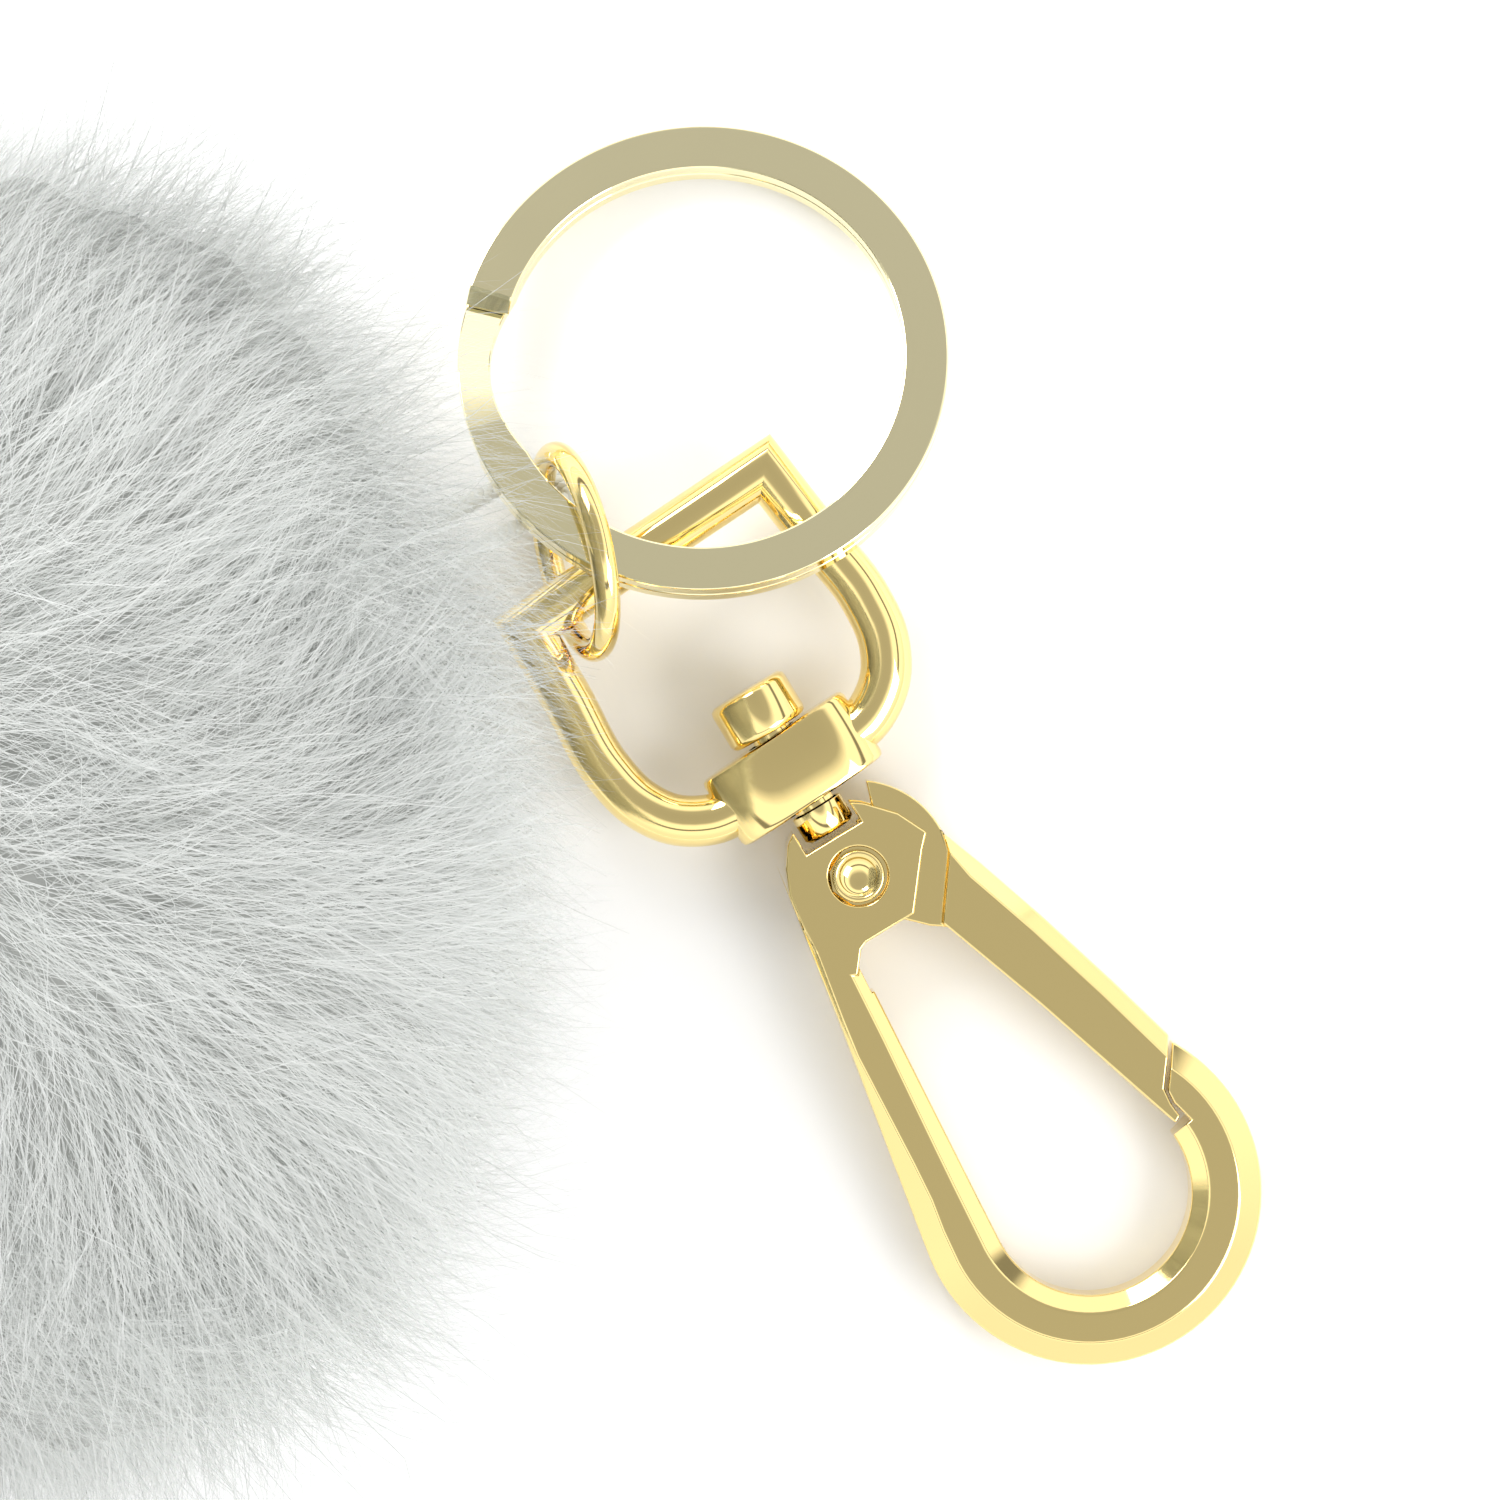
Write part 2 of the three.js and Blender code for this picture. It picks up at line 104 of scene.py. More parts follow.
def polished(name, colour, roughness):
    """Plated metal with faint cloudiness in its polish."""
    material, tree, shader = node_material(name)
    shader.inputs["Base Color"].default_value = (*colour, 1)
    shader.inputs["Metallic"].default_value = 1
    place = tree.nodes.new("ShaderNodeTexCoord")
    cloud = tree.nodes.new("ShaderNodeTexNoise")
    cloud.inputs["Scale"].default_value = 260
    spread = tree.nodes.new("ShaderNodeMapRange")
    spread.inputs["To Min"].default_value = roughness * 0.7
    spread.inputs["To Max"].default_value = roughness * 1.3
    tree.links.new(place.outputs["Object"], cloud.inputs["Vector"])
    tree.links.new(cloud.outputs["Fac"], spread.inputs["Value"])
    tree.links.new(spread.outputs["Result"], shader.inputs["Roughness"])
    return material


def plain(name, colour, roughness, sheen=0.0):
    material, _, shader = node_material(name)
    shader.inputs["Base Color"].default_value = (*colour, 1)
    shader.inputs["Roughness"].default_value = roughness
    shader.inputs["Sheen Weight"].default_value = sheen
    return material


GOLD = polished("pale_gold", (0.93, 0.74, 0.32), 0.06)
RING_GOLD = polished("ring_gold", (0.97, 0.88, 0.55), 0.07)
STEEL = polished("spring_steel", (0.5, 0.48, 0.44), 0.25)
CORD = plain("cord", (0.66, 0.67, 0.64), 0.9, sheen=0.3)

# ------------------------------------------------------------------ pieces


def piece(name, mesh, body, material, stands_for):
    """Puts a mesh on show as part of a body, in place of the CAD nodes it stands for."""
    made = bpy.data.objects.new(name, mesh)
    bpy.context.scene.collection.objects.link(made)
    mesh.materials.append(material)
    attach(made, body)
    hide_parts(*stands_for)
    return made


# ------------------------------------------------------------------ mesh makers


def shell(name, rings, closed=False):
    """A mesh through a row of section outlines, each a list of points, with flat ends."""
    rings = np.array(rings, float)
    count, sides, _ = rings.shape
    faces = []
    for i in range(count if closed else count - 1):
        here, after = i * sides, (i + 1) % count * sides
        for j in range(sides):
            k = (j + 1) % sides
            faces.append((here + j, here + k, after + k, after + j))
    if not closed:
        faces.append(tuple(range(sides))[::-1])
        faces.append(tuple((count - 1) * sides + j for j in range(sides)))
    mesh = bpy.data.meshes.new(name)
    mesh.from_pydata(rings.reshape(-1, 3).tolist(), [], faces)
    work = bmesh.new()
    work.from_mesh(mesh)
    bmesh.ops.recalc_face_normals(work, faces=work.faces)
    work.to_mesh(mesh)
    work.free()
    return mesh


def smooth(mesh, sharp=28):
    """Smooth shading, but for edges sharper than this many degrees."""
    mesh.shade_smooth()
    mesh.set_sharp_from_angle(angle=math.radians(sharp))


def tube(name, path, diameter, up, sides=16, closed=False):
    """A round wire along a path. up is any direction that the path never runs along."""
    path = np.array(path, float)
    if closed:
        forward = unit(np.roll(path, -1, axis=0) - np.roll(path, 1, axis=0))
    else:
        forward = unit(np.gradient(path, axis=0))
    first = unit(np.cross(forward, up))[:, None]
    second = np.cross(forward, first[:, 0])[:, None]
    turns = (np.arange(sides) * 2 * np.pi / sides)[None, :, None]
    rings = path[:, None] + diameter / 2 * (first * np.cos(turns) + second * np.sin(turns))
    return shell(name, rings, closed)


def turned(name, profile, sides=48):
    """A turned piece about Z from (radius, height) pairs that start and end on the axis."""
    rings = []
    for i in range(sides):
        turn = 2 * math.pi * i / sides
        rings.append([(r * math.cos(turn), r * math.sin(turn), h) for r, h in profile])
    mesh = bpy.data.meshes.new(name)
    work = bmesh.new()
    made = [[work.verts.new(point) for point in ring] for ring in rings]
    for i in range(sides):
        here, after = made[i], made[(i + 1) % sides]
        for j in range(len(profile) - 1):
            work.faces.new((here[j], after[j], after[j + 1], here[j + 1]))
    bmesh.ops.remove_doubles(work, verts=work.verts, dist=1e-4)
    bmesh.ops.recalc_face_normals(work, faces=work.faces)
    work.to_mesh(mesh)
    work.free()
    return mesh


def rounded_rectangle(half_width, half_height, radius, steps=3):
    """Section outline as (across, up) pairs."""
    outline = []
    for x, y, start in ((1, 1, 0), (-1, 1, 90), (-1, -1, 180), (1, -1, 270)):
        for step in range(steps + 1):
            angle = math.radians(start + 90 * step / steps)
            outline.append((x * (half_width - radius) + radius * math.cos(angle),
                            y * (half_height - radius) + radius * math.sin(angle)))
    return outline


# ------------------------------------------------------------------ key ring

KEY_OUTER, KEY_INNER = 15.15, 12.4     # radii of the flat strip
KEY_STRIP, KEY_GAP = 1.06, 0.08        # the strip's thickness, and the gap between its turns
KEY_TILT, KEY_LOW = 16.6, 93           # degrees it leans, and the bearing of its low side
COIL_FROM, COIL_TO = 205, 886          # degrees along the strip, from its hidden to its shown end
RISE_FROM, RISE_TO = 526, 544          # where the strip's outer edge climbs on to its first turn
CREASE_SLANT = 16                      # degrees further round that the inner edge is up
PINCH_FROM, PINCH_TO, PINCH = 520, 570, 0.75    # where the inner edge is drawn in, and how far
END_SLOPE, END_DROP = 3.5, 0.75        # degrees of the shown end ground to a slope, and its fall


def key_ring():
    """A flat strip wound twice round, with a sharp crease where its climb ends."""
    centre_line, half_width = (KEY_OUTER + KEY_INNER) / 2, (KEY_OUTER - KEY_INNER) / 2
    outline = rounded_rectangle(half_width, KEY_STRIP / 2, 0.13)
    lift = KEY_STRIP + KEY_GAP
    rings = []
    for angle in np.arange(COIL_FROM, COIL_TO + 1, 1.0):
        way = math.radians(angle)
        pinch = PINCH * math.sin(math.pi * share(angle, PINCH_FROM, PINCH_TO))
        ground = share(angle, COIL_TO - END_SLOPE, COIL_TO)
        ring = []
        for across, up in outline:
            inward = (half_width - across) / (2 * half_width)
            crease = RISE_TO + CREASE_SLANT * inward
            climbed = share(angle, RISE_FROM, crease)
            radius = centre_line + across + pinch * inward
            height = up - END_DROP * ground * (up > 0) + (climbed - 0.5) * lift
            ring.append((radius * math.cos(way), radius * math.sin(way), height))
        rings.append(ring)
    mesh = shell("key_ring_strip", rings)
    axis = Vector((-math.sin(math.radians(KEY_LOW)), math.cos(math.radians(KEY_LOW)), 0))
    mesh.transform(Matrix.Translation(middle("key_ring"))
                   @ Matrix.Rotation(math.radians(KEY_TILT), 4, axis) @ Matrix.Scale(MM, 4))
    smooth(mesh, 12)
    piece("key_ring_strip", mesh, "split_ring", RING_GOLD, ["key_ring"])


key_ring()

# ------------------------------------------------------------------ swivel hook

HALF = 2.1                   # half the hook's thickness
SLOT = 1.5                   # half the slot that holds the gate's tongue
INNER_SIDE = 1.4             # half the height of the side wall round the opening
RIM = 0.13                   # how wide its sharp edges are rounded over
BEND_CENTRE = (2.05, -24.35)
BEND_OUTER, BEND_INNER = 10.7, 6.3


def prism(name, outline, bottom, top):
    """A flat plate between two heights, from outline points."""
    return shell(name, [[(x, y, z) for x, y in outline] for z in (bottom, top)])


def disc(radius, steps=48):
    """A circle's outline about the gate's pivot."""
    turns = np.arange(steps) * 2 * math.pi / steps
    return [(radius * math.cos(turn), radius * math.sin(turn)) for turn in turns]


def bend(radius, angle):
    """A point on a circle about the middle of the hook's bend."""
    way = math.radians(angle)
    return (BEND_CENTRE[0] + radius * math.cos(way), BEND_CENTRE[1] + radius * math.sin(way))


def combined(base, others):
    """The base mesh with each (mesh, "UNION" or "DIFFERENCE") worked into it."""
    body = bpy.data.objects.new("work", base)
    bpy.context.scene.collection.objects.link(body)
    tools = []
    for mesh, operation in others:
        tool = bpy.data.objects.new("tool", mesh)
        bpy.context.scene.collection.objects.link(tool)
        tools.append(tool)
        step = body.modifiers.new("step", "BOOLEAN")
        step.object = tool
        step.operation = operation
        step.solver = "EXACT"
    bpy.context.view_layer.update()
    done = bpy.data.meshes.new_from_object(body.evaluated_get(bpy.context.evaluated_depsgraph_get()))
    for spare in (body, *tools):
        bpy.data.objects.remove(spare)
    work = bmesh.new()
    work.from_mesh(done)
    bmesh.ops.remove_doubles(work, verts=work.verts, dist=0.005)
    bmesh.ops.dissolve_limit(work, angle_limit=math.radians(0.5), verts=work.verts, edges=work.edges)
    work.to_mesh(done)
    work.free()
    return done


def rims(made):
    """Rounds a piece's sharp edges over."""
    rounding = made.modifiers.new("rims", "BEVEL")
    rounding.width = RIM * MM
    rounding.segments = 3
    rounding.limit_method = "ANGLE"
    rounding.angle_limit = math.radians(24)
    rounding.use_clamp_overlap = False
    rounding.harden_normals = True


ARM_OUTER = ((-4.3, 0.55), bend(BEND_OUTER, 169.7))
ARM_INNER = ((-2.45, -1.9), bend(BEND_INNER, 175.4))


def on_line(line, y):
    """Where a line through two points is at height y."""
    (x0, y0), (x1, y1) = line
    return x0 + (x1 - x0) * (y - y0) / (y1 - y0)


def hook_body():
    """A bar with a flat face and broad chamfers, bent round, and the flat head on its end."""
    sections = []
    for y in (-0.9, -4.5, -7.0, -9.5, -12.0, -14.5, -17.0, -19.5, -21.5):
        grown = share(y, -9, -19)
        outer, inner = on_line(ARM_OUTER, y), on_line(ARM_INNER, y)
        flat_outer = outer + 0.25 + 1.15 * grown
        flat_inner = inner - 0.85 - 0.2 * grown
        outer_side = HALF - 0.2 - 0.9 * grown
        sections.append([
            (outer, y, outer_side), (flat_outer, y, HALF),
            (flat_inner, y, HALF), (inner, y, INNER_SIDE),
            (inner, y, -INNER_SIDE), (flat_inner, y, -HALF),
            (flat_outer, y, -HALF), (outer, y, -outer_side)])
    for angle in np.arange(172, 398, 4.0):
        sections.append([
            (*bend(radius, angle), z) for radius, z in (
                (BEND_OUTER, 1.0), (9.22, HALF), (7.38, HALF), (BEND_INNER, INNER_SIDE),
                (BEND_INNER, -INNER_SIDE), (7.38, -HALF), (9.22, -HALF), (BEND_OUTER, -1.0))])
    bar = shell("hook_bar", sections)
    head = prism("head", [
        (-4.8, -4.6), (-4.57, -0.95), (-4.25, 1.2), (-3.6, 2.7), (-2.75, 3.9), (-2.05, 4.4),
        (-2.05, 2.8),
        (1.9, 2.8), (1.9, 4.2), (2.6, 3.7), (4.1, 2.05), (5.0, 0.15), (4.23, -0.65), (1.74, -3.75),
        (-1.7, -3.75), (-2.2, -3.95), (-2.55, -4.4), (-3.2, -5.2)], -HALF, HALF)
    slot = prism("slot", [
        (-3.2, -6.6), (7.5, -6.6), (7.5, 6), (1.7, 6), (1.7, 2.2), (-3.2, 2.2)], -SLOT, SLOT)
    nose = prism("nose", [
        (12.9, -16.9), (11.3, -18.95), (9.45, -21.35), (9.4, -22.15), (9.75, -23.6),
        (7, -24.2), (4, -15), (9, -12)], -3, 3)
    hole = prism("hole", disc(1.85), -3, 3)
    mesh = combined(bar, [
        (head, "UNION"), (slot, "DIFFERENCE"), (nose, "DIFFERENCE"), (hole, "DIFFERENCE")])
    mesh.transform(HOOK_FRAME)
    smooth(mesh, 20)
    made = piece("hook_body_shape", mesh, "hook", GOLD, ["hook_body"])
    rims(made)


def chamfer(mesh, along, width):
    """Cuts a chamfer along the plate's upper and lower edges between these outline points."""
    work = bmesh.new()
    work.from_mesh(mesh)

    def chosen(vertex):
        return any(abs(vertex.co.x - x) + abs(vertex.co.y - y) < 1e-3 for x, y in along)

    edges = [edge for edge in work.edges
             if all(chosen(v) for v in edge.verts) and edge.verts[0].co.z == edge.verts[1].co.z]
    bmesh.ops.bevel(work, geom=edges, offset=width, offset_type="WIDTH", segments=1, affect="EDGES")
    work.to_mesh(mesh)
    work.free()


def gate():
    """The sprung lever: a broad flat bar with a chamfered outer side, and its tongue."""
    outer_side = [(5.88, -0.55), (6.87, -3.25), (8.48, -8.25), (10.1, -13.85), (11.32, -18.5)]
    inner_side = [(8.2, -21.6), (5.5, -12.6)]
    tip = [(9.33, -21.1), (9.22, -22.1), (9.3, -23.05), (8.85, -23.3)]
    outline = [(5.6, -1.6), *outer_side, *tip, *inner_side, (2.95, -5.2)]
    arm = prism("arm", outline, -HALF, HALF)
    chamfer(arm, outer_side, 1.45)
    chamfer(arm, inner_side, 0.6)
    turns = [math.radians(angle) for angle in range(-30, 58, 4)]
    tail = [(5.9 * math.cos(turn), 5.9 * math.sin(turn)) for turn in turns]
    tongue = prism("tongue", [
        *tail, (2.75, 2.6), (2.75, 1.7), (0, 1.95), (-1.46, 1.17), (-1.95, 0), (-1.37, -1.37),
        (2.2, -5.0), (4.2, -6.4), (6.6, -5.2)], -1.22, 1.22)
    hole = prism("hole", disc(1.2), -3, 3)
    groove = prism("groove", disc(4.1), -0.78, 0.78)
    mesh = combined(arm, [(tongue, "UNION"), (hole, "DIFFERENCE"), (groove, "DIFFERENCE")])
    mesh.transform(HOOK_FRAME)
    smooth(mesh, 20)
    made = piece("gate_shape", mesh, "gate_lever", GOLD, ["gate"])
    rims(made)


def gate_rivet():
    """The rivet that the gate turns on, with a dimple in its upper end."""
    profile = [
        (0, -1.85), (0.8, -1.85), (1.2, -2.15), (1.5, -2.15), (1.55, -1.45), (0.9, -1.45),
        (0.9, 1.45), (1.55, 1.45), (1.62, 2.05), (1.58, 2.17), (1.45, 2.23),
        (1.3, 2.17), (1.15, 1.95), (0.8, 1.73), (0.4, 1.65), (0, 1.63)]
    mesh = turned("gate_rivet", profile)
    mesh.transform(HOOK_FRAME)
    smooth(mesh, 50)
    piece("gate_rivet", mesh, "hook", GOLD, ["gate_pin"])


def gate_spring():
    """The torsion spring round the rivet: a leg, the coil, and a second leg."""
    radius, pitch, turns, steps_a_turn = 1.42, 0.42, 2.25, 24
    wire = [(-2.4, -3.9, -0.47), (-1.75, -2.4, -0.47)]
    for i in range(int(turns * steps_a_turn) + 1):
        turned_by = i / steps_a_turn
        angle = math.pi - 2 * math.pi * turned_by
        height = pitch * (turned_by - turns / 2)
        wire.append((radius * math.cos(angle), radius * math.sin(angle), height))
    wire += [(1.4, 1.38, 0.47), (2.6, 1.0, 0.47)]
    mesh = tube("gate_spring_wire", wire, 0.4, (0, 0, 1), sides=8)
    mesh.transform(HOOK_FRAME)
    smooth(mesh)
    piece("gate_spring_wire", mesh, "hook", STEEL, ["gate_spring"])


COLLAR_FROM, COLLAR_TO = 5.3, 10.1     # along the hook's length
COLLAR_HALF_WIDTH, COLLAR_HALF_DEPTH = 5.2, 2.45
BAIL_WIRE = 3.2
BAIL_TURN, BAIL_PIVOT = 2.5, 7.6       # degrees it is turned from the hook, and about what point


def swivel_post():
    """A shank through the collar, a barrel in the hook's notch, and a button head."""
    profile = [
        (0, 3.15), (1.45, 3.15), (1.7, 3.4), (1.7, 4.9), (1.5, 5.0), (1.3, 5.0), (1.3, 10.4),
        (2.35, 10.4), (2.55, 10.55), (2.62, 10.8), (2.62, 12.95), (2.55, 13.2), (2.3, 13.38), (0, 13.38)]
    mesh = turned("swivel_button", profile)
    mesh.transform(HOOK_FRAME @ Matrix.Rotation(math.radians(-90), 4, "X"))
    smooth(mesh, 50)
    piece("swivel_button", mesh, "hook", GOLD, ["swivel_post"])


def bail_side():
    """Half of the D's centre line, from the collar out and up to its corner."""
    points = np.array([
        (3.2, 7.4), (6.0, 7.9), (7.9, 9.2), (9.1, 11.2), (9.6, 14.0), (9.2, 19.0), (8.85, 24.1)])
    reached = np.concatenate([[0], np.cumsum(np.linalg.norm(np.diff(points, axis=0), axis=1))])
    slopes = np.gradient(points, reached, axis=0)
    side = []
    for at in np.linspace(0, reached[-1], 60):
        i = min(np.searchsorted(reached, at, side="right") - 1, len(reached) - 2)
        span = reached[i + 1] - reached[i]
        t = (at - reached[i]) / span
        side.append((2 * t ** 3 - 3 * t ** 2 + 1) * points[i]
                    + (t ** 3 - 2 * t ** 2 + t) * span * slopes[i]
                    + (3 * t ** 2 - 2 * t ** 3) * points[i + 1]
                    + (t ** 3 - t ** 2) * span * slopes[i + 1])
    return np.array(side)


def rounded_bar(along, steps=56):
    """A section across the collar, inset a little at its ends: (height, inset) in millimetres."""
    height, inset = along
    section = []
    for i in range(steps):
        turn = 2 * math.pi * i / steps
        x = (COLLAR_HALF_WIDTH - inset) * math.copysign(abs(math.cos(turn)) ** 0.62, math.cos(turn))
        z = (COLLAR_HALF_DEPTH - inset) * math.copysign(abs(math.sin(turn)) ** 0.85, math.sin(turn))
        section.append((x, height, z))
    return section


def bail():
    """A D of thick wire with two mitred corners, and the collar that turns on the post."""
    side = bail_side()
    path = np.concatenate([side, side[::-1] * (-1, 1)])
    into = unit(np.diff(path, axis=0, prepend=2 * path[:1] - path[1:2]))
    out = unit(np.diff(path, axis=0, append=2 * path[-1:] - path[-2:-1]))
    across = np.stack([into[:, 1] + out[:, 1], -into[:, 0] - out[:, 0]], 1)
    across /= 1 + (into * out).sum(1, keepdims=True)
    sections = []
    for place, way in zip(path, across):
        section = []
        for turn in np.arange(28) * 2 * math.pi / 28:
            x, y = place + BAIL_WIRE / 2 * math.cos(turn) * way
            section.append((x, y, BAIL_WIRE / 2 * math.sin(turn)))
        sections.append(section)
    loop = shell("bail_loop", sections)

    levels = (
        (COLLAR_FROM, 0.3), (COLLAR_FROM + 0.1, 0.1), (COLLAR_FROM + 0.35, 0),
        (COLLAR_TO - 0.35, 0), (COLLAR_TO - 0.1, 0.1), (COLLAR_TO, 0.3))
    collar = shell("collar", [rounded_bar(level) for level in levels])
    bore = turned("bore", [(0, 0), (1.65, 0), (1.65, 20), (0, 20)])
    bore.transform(Matrix.Rotation(math.radians(-90), 4, "X"))
    mesh = combined(loop, [(collar, "UNION"), (bore, "DIFFERENCE")])
    pivot = Matrix.Translation((0, BAIL_PIVOT, 0))
    turn = Matrix.Rotation(math.radians(BAIL_TURN), 4, "Z")
    mesh.transform(HOOK_FRAME @ pivot @ turn @ pivot.inverted())
    smooth(mesh, 30)
    piece("bail_shape", mesh, "bail", GOLD, ["swivel_bail"])


hook_body()
gate()
gate_rivet()
gate_spring()
swivel_post()
bail()

# ------------------------------------------------------------------ fur

SEED = 7
TUFTS = 2300
STRANDS_PER_TUFT = 36
SEGMENTS = 4             # straight steps in each strand
SKIN = 30.3              # radius that the strands start from
STRAND_LENGTH = 12.5
STRAND_WIDTH = 0.07
TINTS = [(0.79, 0.805, 0.785), (0.75, 0.765, 0.745), (0.83, 0.845, 0.83), (0.705, 0.725, 0.71)]


def even_directions(count, rng):
    """Directions spread evenly over a sphere, each a little out of place."""
    i = np.arange(count) + 0.5
    height = 1 - 2 * i / count
    turn = np.pi * (1 + 5 ** 0.5) * i
    flat = np.sqrt(1 - height ** 2)
    points = np.stack([flat * np.cos(turn), flat * np.sin(turn), height], 1)
    return unit(points + rng.normal(0, 0.5 / math.sqrt(count), points.shape))


def waves(points, rng, count=7, scale=2.0):
    """A smooth wandering vector field over the ball, about 1 in size."""
    field = np.zeros_like(points)
    for _ in range(count):
        direction = rng.normal(0, scale, 3)
        phase = rng.uniform(0, 2 * np.pi)
        way = rng.normal(0, 1, 3)
        field += np.sin(points @ direction + phase)[:, None] * way
    return field * math.sqrt(2 / count)


def girth(directions):
    """How far the pile stands out each way, against a plain ball: fuller at the two lower and
    upper shoulders next to the rings, and pressed in between them."""
    bearing = np.degrees(np.arctan2(directions[:, 1], directions[:, 0]))
    lower = 0.19 * np.exp(-((bearing + 62) / 34) ** 2)
    upper = 0.17 * np.exp(-((bearing - 70) / 34) ** 2)
    level = 1 - directions[:, 2] ** 2
    return (0.955 + (lower + upper) * level)[:, None]


def comb(directions, rng):
    """Which way the pile lies: towards the rings, up-right above and down-right below."""
    lie = np.tile([0.75, 0.0, -0.2], (len(directions), 1))
    lie[:, 1] = 0.85 * np.tanh(2.0 * directions[:, 1])
    lie += 0.5 * waves(directions, rng, scale=3.0)
    lie -= (lie * directions).sum(1, keepdims=True) * directions
    return unit(lie)


def ribbons(name, spines, widths):
    """Thin strands as one mesh: spines is (strand, level, xyz) in millimetres about the ball."""
    count, levels, _ = spines.shape
    forward = unit(np.gradient(spines, axis=1))
    outward = unit(spines)
    side = unit(np.cross(forward, outward))
    taper = np.linspace(1, 0.2, levels)[None, :, None]
    offset = side * widths[:, None, None] * taper / 2
    points = np.stack([spines - offset, spines + offset], 2).reshape(-1, 3)
    points = points * MM + np.array(BALL_CENTRE)
    points[:, 2] = np.maximum(points[:, 2], 0.00012)
    step = np.arange(count)[:, None] * levels * 2 + np.arange(levels - 1)[None] * 2
    faces = np.stack([step, step + 1, step + 3, step + 2], -1).reshape(-1, 4)
    mesh = bpy.data.meshes.new(name)
    mesh.vertices.add(len(points))
    mesh.vertices.foreach_set("co", points.astype(np.float32).ravel())
    mesh.loops.add(faces.size)
    mesh.loops.foreach_set("vertex_index", faces.astype(np.int32).ravel())
    mesh.polygons.add(len(faces))
    mesh.polygons.foreach_set("loop_start", (np.arange(len(faces)) * 4).astype(np.int32))
    mesh.update(calc_edges=True)
    mesh.shade_smooth()
    # Strands are lit mostly as the soft surface they make up together.
    across = unit(np.cross(side * np.ones_like(forward), forward))
    lit = unit(outward + 0.45 * across)
    mesh.normals_split_custom_set_from_vertices(np.repeat(lit.reshape(-1, 3), 2, axis=0))
    return mesh


def fur_material(name, colour):
    """A soft fibre that lets some light through."""
    material, tree, shader = node_material(name)
    shader.inputs["Base Color"].default_value = (*colour, 1)
    shader.inputs["Roughness"].default_value = 0.9
    shader.inputs["Specular IOR Level"].default_value = 0.1
    thin = tree.nodes.new("ShaderNodeBsdfTranslucent")
    thin.inputs["Color"].default_value = (*colour, 1)
    both = tree.nodes.new("ShaderNodeMixShader")
    both.inputs["Fac"].default_value = 0.4
    tree.links.new(shader.outputs[0], both.inputs[1])
    tree.links.new(thin.outputs[0], both.inputs[2])
    tree.links.new(both.outputs[0], tree.nodes["Material Output"].inputs["Surface"])
    return material


def pile():
    """Strands in tufts that share a tip, in four meshes that differ a little in tint."""
    rng = np.random.default_rng(SEED)
    tufts = even_directions(TUFTS, rng)
    lie = comb(tufts, np.random.default_rng(SEED + 1))
    hills = waves(tufts, np.random.default_rng(SEED + 2), count=16, scale=6.5)[:, :1]
    tuft_length = STRAND_LENGTH * (1 + 0.12 * hills) * rng.uniform(0.9, 1.1, (TUFTS, 1))
    lean = 0.95 * rng.uniform(0.7, 1.3, (TUFTS, 1))
    tip_way = unit(tufts + lean * lie + rng.normal(0, 0.25, tufts.shape))

    owner = np.repeat(np.arange(TUFTS), STRANDS_PER_TUFT)
    count = len(owner)
    tuft_size = math.sqrt(4 * math.pi / TUFTS)
    root_ways = unit(tufts[owner] + rng.normal(0, 0.6 * tuft_size, (count, 3)))
    length = tuft_length[owner] * rng.uniform(0.6, 1.1, (count, 1))
    gather = rng.uniform(0.1, 0.75, (count, 1))

    roots = root_ways * SKIN
    gathered = tufts[owner] * SKIN + tip_way[owner] * length
    loose = roots + unit(tip_way[owner] + rng.normal(0, 0.35, (count, 3))) * length
    ends = gathered * gather + loose * (1 - gather)
    middles = roots + unit(root_ways + 0.2 * lie[owner]) * length * 0.55
    along = np.linspace(0, 1, SEGMENTS + 1)[None, :, None]
    spines = ((1 - along) ** 2 * roots[:, None]
              + 2 * along * (1 - along) * middles[:, None]
              + along ** 2 * ends[:, None])
    spines += rng.normal(0, 0.45, (count, 1, 3)) * np.sin(along * np.pi * 1.8)
    spines *= girth(root_ways)[:, None]
    widths = STRAND_WIDTH * rng.uniform(0.6, 1.4, count)

    tint_of = rng.integers(0, len(TINTS), count)
    for number, tint in enumerate(TINTS):
        own = tint_of == number
        name = f"pile_{number + 1}"
        mesh = ribbons(name, spines[own], widths[own])
        piece(name, mesh, "plush", fur_material(name, tint), ["fur_cover"])


def painted_shade_undercoat():
    """The dense coat under the strands, which hides the skin and what is inside it. Its dark grey is
    painted shade, standing in for the shadow deep in the pile.
    """
    work = bmesh.new()
    bmesh.ops.create_icosphere(work, subdivisions=6, radius=1)
    ways = np.array([v.co for v in work.verts])
    lumps = waves(ways, np.random.default_rng(SEED + 5), count=24, scale=14.0)[:, :1]
    points = ways * (SKIN + 2.0 + 0.6 * lumps) * girth(ways) * MM + np.array(BALL_CENTRE)
    points[:, 2] = np.maximum(points[:, 2], 0.0012)
    for vertex, place in zip(work.verts, points):
        vertex.co = place
    mesh = bpy.data.meshes.new("painted_shade_undercoat")
    work.to_mesh(mesh)
    work.free()
    mesh.shade_smooth()
    # Painted shade: a grey well below the strand tints, so the gaps between tufts read as shadowed
    # depth.
    material = fur_material("painted_shade_undercoat", (0.52, 0.53, 0.51))
    hidden = ["stuffing", "loop_anchor", "loop_knot", "gather_thread"]
    made = piece("painted_shade_undercoat", mesh, "plush", material, hidden)


painted_shade_undercoat()
pile()

# ------------------------------------------------------------------ jump ring and cord loop

JUMP_RADIUS, JUMP_WIRE = 6.12, 1.6     # to the middle of the wire, and its thickness
JUMP_FACING, JUMP_LEAN = 192.5, 73.8   # bearing and lean of the ring's axis, in degrees
JUMP_HOLD = 45                         # degrees round the wire that the cord holds it
LOOP_HALF_WIDTH, LOOP_FROM = 1.85, 23.8
PLIES, PLY_WIDTH, PLY_OFFSET, PLY_PITCH = 3, 0.66, 0.33, 2.4


